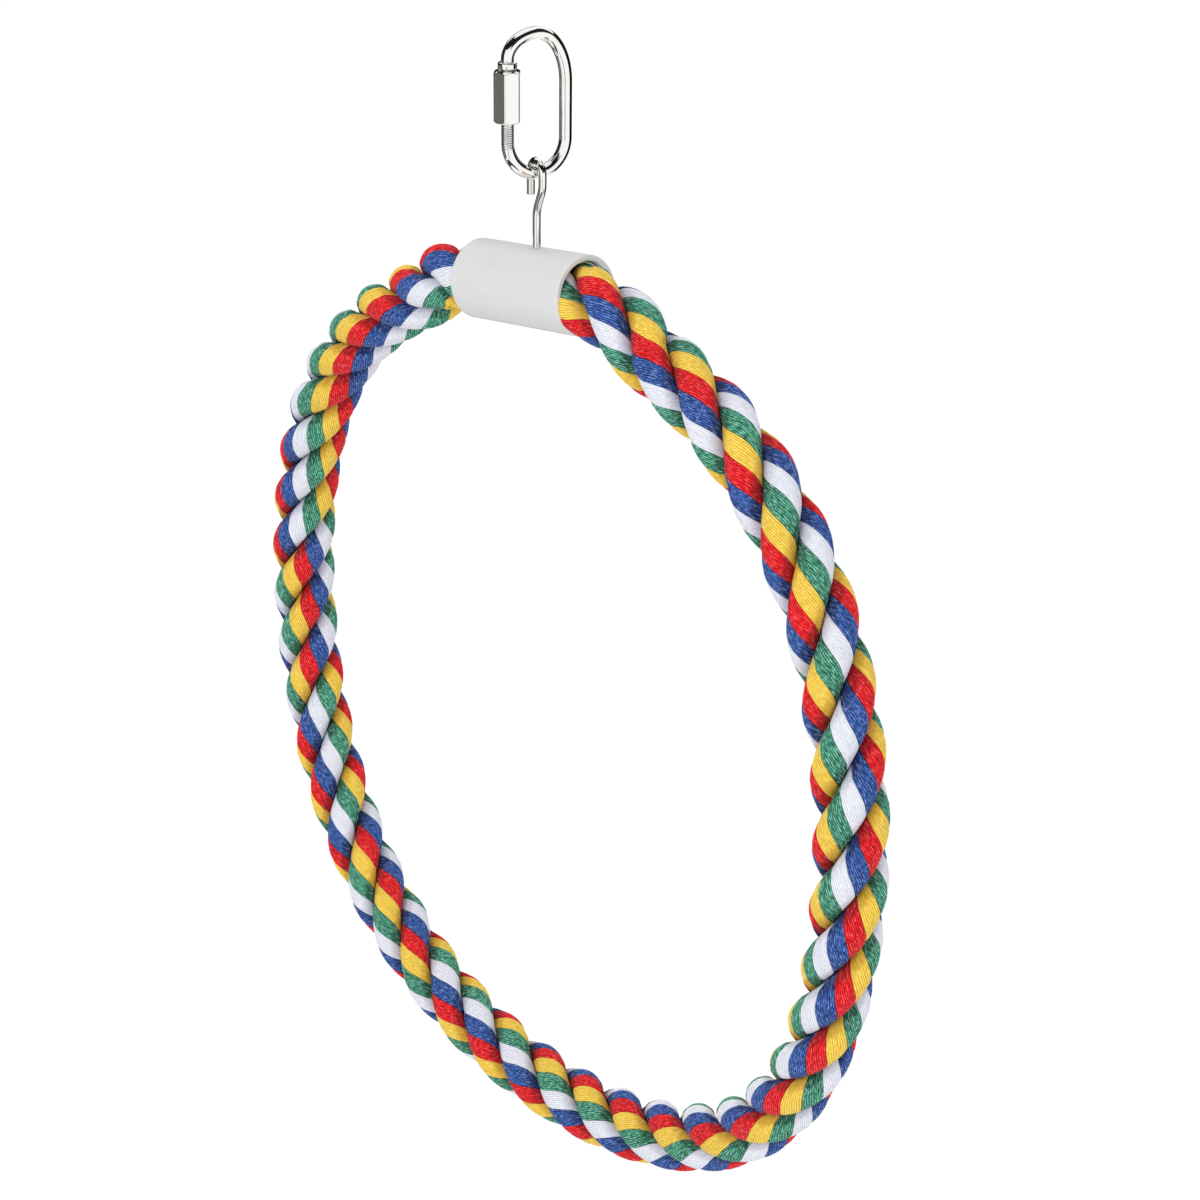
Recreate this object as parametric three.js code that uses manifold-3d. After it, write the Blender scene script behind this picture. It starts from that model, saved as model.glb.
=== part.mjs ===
// Parrot climbing ring: a ring of three-strand cotton rope, closed in a plastic sleeve, which hangs by a
// wire hook from an oval quick link.
// Millimetres, +Z up. The ring lies in the XZ plane with its sleeve on top. The origin is the hang point,
// where the inside of the link's upper bend rests on whatever carries it.
import * as THREE from "three";
import { mergeVertices } from "three/addons/utils/BufferGeometryUtils.js";
import Module from "manifold-3d";

// Clearance between pieces that touch
const FIT = 0.3;

// Ring and rope
const RING_RADIUS = 130; // from the middle of the ring to the middle of the rope
const ROPE_DIAMETER = 20;
const ROPE_LAY = 53.7; // length of rope in which a strand goes once round
const LAY_START = 0.385; // of a turn, from the outside of the ring to the first strand, inside the sleeve
const LAY_SLIP = 0.15; // of a turn: the strands have slipped round where they leave the sleeve on its right
const LAY_SLIP_RUN = 140; // length of rope over which that slip dies out
const WOBBLE_OUT = 1.7; // the ring is bent by hand: how far its three lobes stand out
const WOBBLE_SIDE = 3.6; // and how far they lean out of the ring's plane
const WOBBLE_TURN = 114; // degrees from the sleeve to the middle lobe, times the number of lobes
const RING_LEAN = 1.8; // degrees out of the upright, about the hook's eye

// Sleeve over the joint of the rope
const SLEEVE_LENGTH = 42.5;
const SLEEVE_BORE = 18.8;
const SLEEVE_WALL = 1.75;
const SLEEVE_EDGE = 0.4; // rounding of the sleeve's outer rims
const SLEEVE_TILT = 4.7; // degrees from level
const SLEEVE_YAW = 5; // degrees out of the ring's plane
const SLEEVE_RISE = 2.3; // the straight sleeve stands this far above the round of the ring
const HOOK_PLACE = 1.8; // along the sleeve, from its middle to the hook
const ROPE_EASE = 28; // length of rope over which it bends from the sleeve into the round
const SQUEEZE_RUN = 6; // length of rope over which it swells to its full size outside the sleeve

// Inside the sleeve
const TAPE_THICKNESS = 0.4;
const TAPE_INSET = 2; // the tape on the rope's ends stops this far inside the sleeve's mouths
const FERRULE_LENGTH = 10;
const FERRULE_WALL = 1;
const ROPE_END_PLAY = 1; // from the ferrule to the rope's cut ends
const CORE_WIRE_GAP = 1; // between the core wire's two ends, inside the ferrule

// Wire hook
const HOOK_WIRE = 2.2;
const HOOK_LENGTH = 31.9; // from the middle of the link's lower bend to the middle of the sleeve
const HOOK_PLAY = 0.65; // between the hook's sides and the link
const HOOK_TIP = 6.3; // from the middle of the hook's round to its tip
const HOOK_KINK_DROP = 2; // from the middle of the hook's round to the kink
const HOOK_KINK_RUN = 9.5;
const HOOK_TURN = 12; // degrees between the hook's plane and the ring's
const EYE_INSET = 1; // the wire starts to bend into its eye this far inside the bore
const EYE_CLOSE = 150; // degrees from the shank's side to the end of the eye, past the bottom

// Quick link
const LINK_ROD = 3.5;
const LINK_WIDTH = 20.8; // over the legs
const LINK_BEND = 6.5; // height of the upper bend on the nut's side, to the middle of the rod
const PLAIN_BEND = 13.5; // and on the plain leg's side, which is bent more gently
const LOWER_BEND = 9;
const COLLAR_DROP = 0.45; // from the end of the upper bend to the stop collar
const COLLAR_HEIGHT = 2;
const COLLAR_DIAMETER = 5.2;
const COLLAR_EDGE = 0.5; // rounding of its rims
const STUB_LENGTH = 2.5; // threaded stub under the collar
const LINK_GAP = 4; // opening between stub and lower leg
const NUT_OVERRUN = 1.05; // the open nut reaches this far over the start of the lower bend
const NUT_LENGTH = 13.8;
const NUT_FLATS = 7; // across flats
const NUT_SIDES = 6;
const NUT_CHAMFER = 0.6;
const NUT_TURN = 55; // degrees from the link's plane to a corner of the nut

// Facets
const STRAND_SIDES = 9;
const STRAND_STEPS = 11; // in one turn of the lay
const CORE_SIDES = 6;
const CORE_STEPS = 80;
const WIRE_SIDES = 10;
const HOOK_STEPS = 60;
const LINK_STEPS = 60;
const ROUND_SIDES = 36;
const BEND_POINTS = 12;
const KINK_POINTS = 5;

const STRANDS = 3;
const SEARCH_ROUNDS = 20;
const SAME_POINT = 1e-4;
const LOBES = 3;
const TURN = 2 * Math.PI;
const radians = THREE.MathUtils.degToRad;

const steel = new THREE.MeshStandardMaterial({ color: 0xc9c9c6, metalness: 1, roughness: 0.18 });
const plastic = new THREE.MeshStandardMaterial({ color: 0xdfe0dd, metalness: 0, roughness: 0.45 });
const tape = new THREE.MeshStandardMaterial({ color: 0xe9e4d6, metalness: 0, roughness: 0.7 });
const galvanised = new THREE.MeshStandardMaterial({ color: 0x9a9c9c, metalness: 1, roughness: 0.4 });
const cotton = [0xcd1e26, 0xecb828, 0x34529f].map(
  (color) => new THREE.MeshStandardMaterial({ color, metalness: 0, roughness: 0.95 }),
);

// Solid geometry: joins and cuts
const wasm = await Module();
wasm.setup();

function toSolid(geometry) {
  const bare = new THREE.BufferGeometry();
  const flat = geometry.index ? geometry.toNonIndexed() : geometry;
  bare.setAttribute("position", flat.getAttribute("position"));
  const merged = mergeVertices(bare, SAME_POINT);
  return new wasm.Manifold(
    new wasm.Mesh({
      numProp: 3,
      vertProperties: merged.getAttribute("position").array,
      triVerts: new Uint32Array(merged.index.array),
    }),
  );
}

function toGeometry(solid) {
  const mesh = solid.getMesh();
  const geometry = new THREE.BufferGeometry();
  geometry.setAttribute("position", new THREE.BufferAttribute(mesh.vertProperties, mesh.numProp));
  geometry.setIndex(new THREE.BufferAttribute(mesh.triVerts, 1));
  return geometry;
}

// A closed tube through rings of points that all turn the same way about the tube's direction
function loft(rings) {
  const sides = rings[0].length;
  const last = (rings.length - 1) * sides;
  const index = [];
  for (let i = 0; i + 1 < rings.length; i++) {
    for (let j = 0; j < sides; j++) {
      const next = (j + 1) % sides;
      const [a, b] = [i * sides + j, i * sides + next];
      const [c, d] = [a + sides, b + sides];
      index.push(a, b, d, a, d, c);
    }
  }
  for (let j = 1; j + 1 < sides; j++) {
    index.push(0, j + 1, j);
    index.push(last, last + j, last + j + 1);
  }
  const geometry = new THREE.BufferGeometry().setFromPoints(rings.flat());
  geometry.setIndex(index);
  return geometry;
}

// A round wire along a smooth curve through points
function wire(points, diameter, steps) {
  const section = new THREE.Shape();
  section.absarc(0, 0, diameter / 2, 0, TURN);
  return new THREE.ExtrudeGeometry(section, {
    extrudePath: new THREE.CatmullRomCurve3(points, false, "centripetal"),
    steps,
    curveSegments: WIRE_SIDES / 2,
  });
}

// A piece turned about Z from its [radius, height] corners: a disc starts and ends on the axis, and a
// tube's profile closes on itself
function turned(profile) {
  const corners = profile.map(([radius, height]) => new THREE.Vector2(radius, height));
  if (corners[0].x > 0) corners.push(corners[0].clone());
  const geometry = new THREE.LatheGeometry(corners, ROUND_SIDES);
  return geometry.rotateX(Math.PI / 2);
}

function tubeProfile(inner, outer, length) {
  const half = length / 2;
  return [
    [inner, -half],
    [outer, -half],
    [outer, half],
    [inner, half],
  ];
}

function piece(name, geometry, material) {
  const mesh = new THREE.Mesh(geometry, material);
  mesh.name = name;
  return mesh;
}

// Heights, from the hang point down
const LINK_TOP = LINK_ROD / 2;
const LEG_TOP = LINK_TOP - LINK_BEND;
const PLAIN_TOP = LINK_TOP - PLAIN_BEND;
const COLLAR_TOP = LEG_TOP - COLLAR_DROP;
const COLLAR_BOTTOM = COLLAR_TOP - COLLAR_HEIGHT;
const NUT_TOP = COLLAR_BOTTOM - FIT;
const NUT_TRAVEL = STUB_LENGTH + LINK_GAP;
const LEG_BOTTOM = NUT_TOP - NUT_LENGTH - NUT_TRAVEL + NUT_OVERRUN;
const LINK_BOTTOM = LEG_BOTTOM - LOWER_BEND;
const EYE_HEIGHT = LINK_BOTTOM - HOOK_LENGTH;
const TILT = radians(SLEEVE_TILT);
const YAW = radians(SLEEVE_YAW);
const LEAN = radians(RING_LEAN);
const SLEEVE_HEIGHT = EYE_HEIGHT - HOOK_PLACE * Math.sin(TILT);
const RING_HEIGHT = SLEEVE_HEIGHT - SLEEVE_RISE - RING_RADIUS;

// Centre line of the rope, by the angle from the top of the ring towards +X
function smooth(t) {
  const x = THREE.MathUtils.clamp(t, 0, 1);
  return x * x * (3 - 2 * x);
}

function roundPoint(angle) {
  const lobe = Math.cos(LOBES * angle - radians(WOBBLE_TURN));
  const radius = RING_RADIUS + WOBBLE_OUT * lobe;
  return new THREE.Vector3(
    radius * Math.sin(angle),
    WOBBLE_SIDE * lobe,
    RING_HEIGHT + radius * Math.cos(angle),
  );
}

const SLEEVE_AXIS = new THREE.Vector3(
  Math.cos(YAW) * Math.cos(TILT),
  Math.sin(YAW) * Math.cos(TILT),
  Math.sin(TILT),
);
const SLEEVE_MIDDLE = new THREE.Vector3(0, 0, EYE_HEIGHT).addScaledVector(SLEEVE_AXIS, -HOOK_PLACE);

function centrePoint(angle) {
  const along = RING_RADIUS * angle;
  const straight = SLEEVE_MIDDLE.clone().addScaledVector(SLEEVE_AXIS, along);
  return straight.lerp(roundPoint(angle), smooth((Math.abs(along) - SLEEVE_LENGTH / 2) / ROPE_EASE));
}

// The same line by its length, from the middle of the sleeve round to the middle of the sleeve again
const LINE_STEPS = 1440;
const lineAngles = [];
const lineLengths = [];
for (let i = 0, length = 0; i <= LINE_STEPS; i++) {
  const angle = (i / LINE_STEPS) * TURN;
  lineAngles.push(angle);
  const [from, to] = [Math.max(i - 1, 0), i].map((k) => centrePoint(halfTurn((k / LINE_STEPS) * TURN)));
  length += from.distanceTo(to);
  lineLengths.push(length);
}
const ROPE_ROUND = lineLengths[LINE_STEPS];

function halfTurn(angle) {
  return angle > Math.PI ? angle - TURN : angle;
}

function angleAt(length) {
  const inside = THREE.MathUtils.euclideanModulo(length, ROPE_ROUND);
  const after = Math.max(lineLengths.findIndex((value) => value >= inside), 1);
  const share = (inside - lineLengths[after - 1]) / (lineLengths[after] - lineLengths[after - 1]);
  return THREE.MathUtils.lerp(lineAngles[after - 1], lineAngles[after], share);
}

// Place on the line with the directions out of the ring, across it and along the rope
function station(length) {
  const angle = angleAt(length);
  const small = TURN / LINE_STEPS / 2;
  const at = centrePoint(halfTurn(angle));
  const ahead = centrePoint(halfTurn((angle + small) % TURN));
  const behind = centrePoint(halfTurn((angle - small + TURN) % TURN));
  const along = ahead.sub(behind).normalize();
  const out = new THREE.Vector3(at.x, 0, at.z - RING_HEIGHT);
  out.addScaledVector(along, -out.dot(along)).normalize();
  const across = new THREE.Vector3().crossVectors(along, out);
  return { at, along, out, across };
}

// Point of a section across the rope, by its radius and its turn from the outside of the ring
function inSection({ at, out, across }, radial, tangential, turn) {
  const [c, s] = [Math.cos(turn), Math.sin(turn)];
  return at
    .clone()
    .addScaledVector(out, radial * c - tangential * s)
    .addScaledVector(across, radial * s + tangential * c);
}

// Strands: three ovals in the rope's section, which meet on the lines between them, less the clearance
const BETWEEN = Math.PI / STRANDS;
let strandRadius = ROPE_DIAMETER / 4;
let slant = 1;
for (let i = 0; i < SEARCH_ROUNDS; i++) {
  const rise = (TURN * (ROPE_DIAMETER / 2 - strandRadius)) / ROPE_LAY;
  slant = Math.sqrt(1 + rise * rise);
  const reach = Math.hypot(Math.sin(BETWEEN), Math.cos(BETWEEN) * slant);
  strandRadius = ((ROPE_DIAMETER / 2) * Math.sin(BETWEEN) - FIT / 2) / (Math.sin(BETWEEN) + reach);
}
const STRAND_RADIUS = strandRadius;
const STRAND_WIDTH = strandRadius * slant; // half the oval's width round the rope
const STRAND_CENTRE = ROPE_DIAMETER / 2 - STRAND_RADIUS;

// The rope is squeezed where the taped ends sit in the sleeve
const TAPE_OUTER = SLEEVE_BORE / 2 - FIT;
const TAPE_INNER = TAPE_OUTER - TAPE_THICKNESS;
const SQUEEZE = (TAPE_INNER - FIT) / (ROPE_DIAMETER / 2);

function squeezeAt(length) {
  const fromSleeve = Math.min(length, ROPE_ROUND - length) - SLEEVE_LENGTH / 2;
  return SQUEEZE + (1 - SQUEEZE) * smooth(fromSleeve / SQUEEZE_RUN);
}

const ROPE_END = FERRULE_LENGTH / 2 + ROPE_END_PLAY; // from the hook

function ropeStrand(number) {
  const start = HOOK_PLACE + ROPE_END;
  const length = ROPE_ROUND - 2 * ROPE_END;
  const steps = Math.ceil((length / ROPE_LAY) * STRAND_STEPS);
  const rings = [];
  for (let i = 0; i <= steps; i++) {
    const place = start + (length * i) / steps;
    const section = station(place);
    const squeeze = squeezeAt(THREE.MathUtils.euclideanModulo(place, ROPE_ROUND));
    const slip = LAY_SLIP * (1 - smooth(place / LAY_SLIP_RUN));
    const turn = TURN * (place / ROPE_LAY + LAY_START + slip + number / STRANDS);
    const ring = [];
    for (let j = 0; j < STRAND_SIDES; j++) {
      const side = (j / STRAND_SIDES) * TURN;
      const radial = STRAND_CENTRE + STRAND_RADIUS * Math.cos(side);
      ring.push(inSection(section, radial * squeeze, STRAND_WIDTH * Math.sin(side) * squeeze, turn));
    }
    rings.push(ring);
  }
  return loft(rings);
}

const CORE_RADIUS = (STRAND_CENTRE - STRAND_RADIUS) * SQUEEZE - FIT;

function coreWire() {
  const start = HOOK_PLACE + CORE_WIRE_GAP / 2;
  const length = ROPE_ROUND - CORE_WIRE_GAP;
  const rings = [];
  for (let i = 0; i <= CORE_STEPS; i++) {
    const section = station(start + (length * i) / CORE_STEPS);
    const ring = [];
    for (let j = 0; j < CORE_SIDES; j++) {
      ring.push(inSection(section, CORE_RADIUS, 0, (j / CORE_SIDES) * TURN));
    }
    rings.push(ring);
  }
  return loft(rings);
}

// Pieces turned about the sleeve's axis: their own Z becomes that axis
function onSleeveAxis(mesh, along) {
  mesh.position.copy(SLEEVE_MIDDLE).addScaledVector(SLEEVE_AXIS, along);
  mesh.quaternion.setFromUnitVectors(new THREE.Vector3(0, 0, 1), SLEEVE_AXIS);
  return mesh;
}

const FERRULE_INNER = CORE_RADIUS + FIT;
const FERRULE_OUTER = FERRULE_INNER + FERRULE_WALL;

function crimpFerrule() {
  const profile = tubeProfile(FERRULE_INNER, FERRULE_OUTER, FERRULE_LENGTH);
  return onSleeveAxis(piece("crimp_ferrule", turned(profile), galvanised), HOOK_PLACE);
}

function endTape(name, side) {
  const cutEnd = HOOK_PLACE + side * ROPE_END;
  const mouth = side * (SLEEVE_LENGTH / 2 - TAPE_INSET);
  const profile = tubeProfile(TAPE_INNER, TAPE_OUTER, Math.abs(mouth - cutEnd));
  return onSleeveAxis(piece(name, turned(profile), tape), (mouth + cutEnd) / 2);
}

function jointSleeve() {
  const inner = SLEEVE_BORE / 2;
  const outer = inner + SLEEVE_WALL;
  const half = SLEEVE_LENGTH / 2;
  const tube = turned([
    [inner, -half],
    [outer - SLEEVE_EDGE, -half],
    [outer, SLEEVE_EDGE - half],
    [outer, half - SLEEVE_EDGE],
    [outer - SLEEVE_EDGE, half],
    [inner, half],
  ]);
  const placed = onSleeveAxis(piece("placed", tube, plastic), 0);
  placed.updateMatrix();
  tube.applyMatrix4(placed.matrix);
  const drillLength = 2 * outer;
  const hole = HOOK_WIRE / 2 + FIT;
  const drill = new THREE.CylinderGeometry(hole, hole, drillLength, WIRE_SIDES * 2);
  drill.rotateX(Math.PI / 2);
  drill.translate(0, 0, drillLength / 2);
  drill.rotateX(-LEAN);
  drill.translate(0, 0, EYE_HEIGHT);
  return piece("joint_sleeve", toGeometry(toSolid(tube).subtract(toSolid(drill))), plastic);
}

// Points of an arc in a plane through Z, as [across, height]
function arc(across, height, width, rise, from, to, steps) {
  return Array.from({ length: steps + 1 }, (_, i) => {
    const angle = radians(from + ((to - from) * i) / steps);
    return [across + width * Math.cos(angle), height + rise * Math.sin(angle)];
  });
}

// Points of a smooth step from one upright line to another
function kink(fromAcross, fromHeight, toAcross, toHeight, steps) {
  return Array.from({ length: steps + 1 }, (_, i) => [
    THREE.MathUtils.lerp(fromAcross, toAcross, smooth(i / steps)),
    THREE.MathUtils.lerp(fromHeight, toHeight, i / steps),
  ]);
}

function hangerHook() {
  const round = LINK_ROD / 2 + HOOK_WIRE / 2 + HOOK_PLAY;
  const middle = LINK_BOTTOM + LINK_ROD / 2 + FIT + HOOK_WIRE / 2 - round;
  const kinkTop = middle - HOOK_KINK_DROP;
  const upper = [
    [-round, middle - HOOK_TIP],
    ...arc(0, middle, round, round, 180, 0, BEND_POINTS),
    ...kink(round, kinkTop, 0, kinkTop - HOOK_KINK_RUN, KINK_POINTS),
  ].map(([across, height]) => new THREE.Vector3(across, 0, height));
  const slantOfEye = Math.cos(radians(HOOK_TURN) + YAW) * Math.cos(TILT);
  const eye = (FERRULE_OUTER + HOOK_WIRE / 2 + FIT) / slantOfEye;
  const lower = [
    ...kink(0, EYE_HEIGHT + SLEEVE_BORE / 2 - EYE_INSET, eye, EYE_HEIGHT, KINK_POINTS),
    ...arc(0, EYE_HEIGHT, eye, eye, 0, EYE_CLOSE - 360, BEND_POINTS).slice(1),
  ].map(([across, height]) => new THREE.Vector3(0, across, height));
  const mesh = piece("hanger_hook", wire([...upper, ...lower], HOOK_WIRE, HOOK_STEPS), steel);
  mesh.rotation.z = -radians(HOOK_TURN);
  return mesh;
}

// The link's own plane holds its X and Z: the nut's leg is on its -X side
const LEG = (LINK_WIDTH - LINK_ROD) / 2;

function linkRod() {
  const points = [
    [-LEG, COLLAR_BOTTOM - STUB_LENGTH],
    [-LEG, COLLAR_TOP],
    ...arc(0, LEG_TOP, LEG, LINK_BEND, 180, 90, BEND_POINTS / 2),
    ...arc(0, PLAIN_TOP, LEG, PLAIN_BEND, 90, 0, BEND_POINTS / 2).slice(1),
    ...arc(0, LEG_BOTTOM, LEG, LOWER_BEND, 0, -180, BEND_POINTS),
    [-LEG, LEG_BOTTOM + NUT_TRAVEL / 2],
    [-LEG, COLLAR_BOTTOM - STUB_LENGTH - LINK_GAP],
  ].map(([across, height]) => new THREE.Vector3(across, 0, height));
  const collar = turned([
    [0, COLLAR_BOTTOM],
    [COLLAR_DIAMETER / 2 - COLLAR_EDGE, COLLAR_BOTTOM],
    [COLLAR_DIAMETER / 2, COLLAR_BOTTOM + COLLAR_EDGE],
    [COLLAR_DIAMETER / 2, COLLAR_TOP - COLLAR_EDGE],
    [COLLAR_DIAMETER / 2 - COLLAR_EDGE, COLLAR_TOP],
    [0, COLLAR_TOP],
  ]);
  collar.translate(-LEG, 0, 0);
  const rod = toSolid(wire(points, LINK_ROD, LINK_STEPS)).add(toSolid(collar));
  return piece("link_rod", toGeometry(rod), steel);
}

function linkNut() {
  const corner = NUT_FLATS / Math.sqrt(3);
  const prism = new THREE.CylinderGeometry(corner, corner, NUT_LENGTH, NUT_SIDES, 1, false, Math.PI / 2);
  prism.rotateX(Math.PI / 2);
  prism.rotateZ(radians(NUT_TURN));
  const half = NUT_LENGTH / 2;
  const rounded = turned([
    [0, -half],
    [corner - NUT_CHAMFER, -half],
    [corner, NUT_CHAMFER - half],
    [corner, half - NUT_CHAMFER],
    [corner - NUT_CHAMFER, half],
    [0, half],
  ]);
  const bore = LINK_ROD / 2 + FIT;
  const drill = new THREE.CylinderGeometry(bore, bore, 2 * NUT_LENGTH, WIRE_SIDES * 2);
  drill.rotateX(Math.PI / 2);
  const solid = toSolid(prism).intersect(toSolid(rounded)).subtract(toSolid(drill));
  const mesh = piece("link_nut", toGeometry(solid), steel);
  mesh.position.set(-LEG, 0, NUT_TOP - half);
  return mesh;
}

const link = new THREE.Group();
link.rotation.z = radians(90 - HOOK_TURN);
link.add(linkRod(), linkNut());

const ring = new THREE.Group();
ring.position.z = -EYE_HEIGHT;
ring.add(jointSleeve(), crimpFerrule());
ring.add(piece("core_wire", coreWire(), galvanised));
ring.add(endTape("end_tape_left", -1), endTape("end_tape_right", 1));
for (let number = 0; number < STRANDS; number++) {
  ring.add(piece(`rope_strand_${number + 1}`, ropeStrand(number), cotton[number]));
}

// The ring leans about the hook's eye
const leaning = new THREE.Group();
leaning.position.z = EYE_HEIGHT;
leaning.rotation.x = LEAN;
leaning.add(ring);

const perch = new THREE.Group();
perch.add(hangerHook(), leaning);

const climbingRing = new THREE.Group();
climbingRing.add(link, perch);

export default climbingRing;
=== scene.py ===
# %% [markdown]
# # A climbing ring for parrots
# A ring of thick cotton rope hangs by a wire hook from an oval quick link, and a short plastic sleeve
# covers the place where the two ends of the rope meet.
# The construction is already there as a frame of plain solids. This lesson dresses that frame: it twists
# the coloured yarns, cuts the threads, polishes the steel, and puts all of it in a white studio.
# Sizes are in millimetres while a shape is worked out, and become metres when its mesh is made.

# %% Load the frame
import math

import bpy
import numpy as np
from mathutils import Matrix, Vector


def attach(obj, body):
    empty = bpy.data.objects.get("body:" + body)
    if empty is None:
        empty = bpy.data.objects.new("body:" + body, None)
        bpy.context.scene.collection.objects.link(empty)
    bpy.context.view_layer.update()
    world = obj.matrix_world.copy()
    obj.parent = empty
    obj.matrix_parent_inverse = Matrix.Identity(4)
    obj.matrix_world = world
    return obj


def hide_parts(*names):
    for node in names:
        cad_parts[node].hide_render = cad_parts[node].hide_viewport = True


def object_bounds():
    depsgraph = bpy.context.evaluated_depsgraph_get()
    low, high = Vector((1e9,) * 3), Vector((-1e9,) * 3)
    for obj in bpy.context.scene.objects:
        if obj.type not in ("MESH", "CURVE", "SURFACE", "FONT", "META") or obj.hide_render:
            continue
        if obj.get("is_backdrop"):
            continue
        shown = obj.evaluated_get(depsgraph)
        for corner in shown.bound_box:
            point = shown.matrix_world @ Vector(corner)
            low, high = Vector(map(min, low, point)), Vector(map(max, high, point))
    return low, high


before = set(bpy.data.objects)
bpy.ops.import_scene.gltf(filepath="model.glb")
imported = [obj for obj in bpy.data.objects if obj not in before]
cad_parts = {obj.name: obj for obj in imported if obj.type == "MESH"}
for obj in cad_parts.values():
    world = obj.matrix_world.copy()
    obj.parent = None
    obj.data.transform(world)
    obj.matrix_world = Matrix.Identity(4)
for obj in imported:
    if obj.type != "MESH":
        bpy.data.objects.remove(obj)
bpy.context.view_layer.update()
MM = 0.001
TURN = 2 * math.pi

# %% [markdown]
# ## The camera
# The photographer stood to the right of the ring and above it, close enough that the near side of the
# rope looks thicker than the far side. A camera could be aimed with a Track To constraint. Here it is
# placed by three turns in the order a tripod head makes them: round, down, and a little to one side.

# %% Camera
CAMERA_PLACE = (541.6, -435.0, 130.5)
CAMERA_ROUND = 49.72  # degrees, from looking along +Y
CAMERA_DOWN = 22.72
CAMERA_ROLL = 0.63
CAMERA_LENS = 78.53  # on a sensor that is 36 wide
SENSOR = 36

camera = bpy.data.objects.new("camera", bpy.data.cameras.new("camera"))
bpy.context.scene.collection.objects.link(camera)
camera.data.lens = CAMERA_LENS
camera.data.sensor_width = SENSOR
camera.data.sensor_fit = "HORIZONTAL"
camera.matrix_world = (
    Matrix.Translation(Vector(CAMERA_PLACE) * MM)
    @ Matrix.Rotation(math.radians(CAMERA_ROUND), 4, "Z")
    @ Matrix.Rotation(math.radians(90 - CAMERA_DOWN), 4, "X")
    @ Matrix.Rotation(math.radians(CAMERA_ROLL), 4, "Z")
)
bpy.context.scene.camera = camera
print("camera", [round(x, 3) for x in camera.matrix_world.translation])

# %% [markdown]
# ## Where everything hangs
# The origin is the hang point, where the inside of the link's upper bend rests on whatever carries it.
# From there each piece hangs from the one above, so the heights are a short sum: link, hook, sleeve, ring.

# %% Heights, from the hang point down
LINK_ROD = 3.5
LINK_WIDTH = 20.8
LINK_BEND = 6.5
PLAIN_BEND = 13.5
LOWER_BEND = 9
COLLAR_DROP = 0.45
COLLAR_HEIGHT = 2
STUB_LENGTH = 2.5
LINK_GAP = 4
NUT_LENGTH = 13.8
NUT_OVERRUN = 1.05
FIT = 0.3
HOOK_LENGTH = 31.9
HOOK_PLACE = 1.8  # along the sleeve, from its middle
SLEEVE_TILT = math.radians(4.7)
SLEEVE_YAW = math.radians(5)
SLEEVE_RISE = 2.3
RING_RADIUS = 130

LEG_TOP = LINK_ROD / 2 - LINK_BEND
PLAIN_TOP = LINK_ROD / 2 - PLAIN_BEND
COLLAR_TOP = LEG_TOP - COLLAR_DROP
COLLAR_BOTTOM = COLLAR_TOP - COLLAR_HEIGHT
NUT_TOP = COLLAR_BOTTOM - FIT
STUB_END = COLLAR_BOTTOM - STUB_LENGTH
LEG_END = STUB_END - LINK_GAP
LEG_BOTTOM = NUT_TOP - NUT_LENGTH - STUB_LENGTH - LINK_GAP + NUT_OVERRUN
LINK_BOTTOM = LEG_BOTTOM - LOWER_BEND
EYE_HEIGHT = LINK_BOTTOM - HOOK_LENGTH
SLEEVE_HEIGHT = EYE_HEIGHT - HOOK_PLACE * math.sin(SLEEVE_TILT)
RING_HEIGHT = SLEEVE_HEIGHT - SLEEVE_RISE - RING_RADIUS
print("ring middle", round(RING_HEIGHT, 2), "sleeve", round(SLEEVE_HEIGHT, 2))

# %% [markdown]
# ## From points to a piece
# Almost every piece here is a long thing with a changing section: a yarn, a wire, a rod, a tube. All of
# them can be made the same way, as rings of points that are joined one after another. Curves with a bevel
# would be quicker, but they can't carry a thread or a wedge-shaped section. The rings can.

# %% Faces between rings
def ring_faces(rings, sides, closed=False):
    """Four-sided faces between rings of points. A closed piece joins its last ring to its first."""
    ring = np.arange(rings if closed else rings - 1)
    side = np.arange(sides)
    here, there = ring[:, None] * sides, ((ring + 1) % rings)[:, None] * sides
    after = (side + 1) % sides
    quads = np.stack([here + side, here + after, there + after, there + side], -1)
    return quads.reshape(-1, 4).tolist()


def signed_volume(points, faces):
    """Above zero if the faces point outwards."""
    a, b, c, d = (points[np.array(faces)[:, i]] for i in range(4))
    return np.einsum("ij,ij->", a, np.cross(b, c)) + np.einsum("ij,ij->", a, np.cross(c, d))


print("one ring of four sides on another makes", len(ring_faces(2, 4)), "faces")

# %% A piece from its rings
SHARP_EDGE = 35  # degrees: a steeper edge is drawn sharp


def add_piece(name, body, rings, closed=False, sharp=SHARP_EDGE):
    """A piece from an array of rings, each with as many points, in millimetres."""
    count, sides, _ = rings.shape
    points = rings.reshape(-1, 3)
    faces = ring_faces(count, sides, closed)
    inside_out = signed_volume(points - points.mean(0), faces) < 0
    if not closed:
        last = (count - 1) * sides
        faces += [list(range(sides))[::-1], list(range(last, last + sides))]
    if inside_out:
        faces = [face[::-1] for face in faces]
    mesh = bpy.data.meshes.new(name)
    mesh.from_pydata((points * MM).tolist(), [], faces)
    mesh.shade_smooth()
    mesh.set_sharp_from_angle(angle=math.radians(sharp))
    piece = bpy.data.objects.new(name, mesh)
    bpy.context.scene.collection.objects.link(piece)
    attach(piece, body)
    return piece


def smooth(share):
    """A soft step from 0 to 1."""
    share = np.clip(share, 0, 1)
    return share * share * (3 - 2 * share)


print("half way up a soft step", smooth(0.5))

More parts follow.
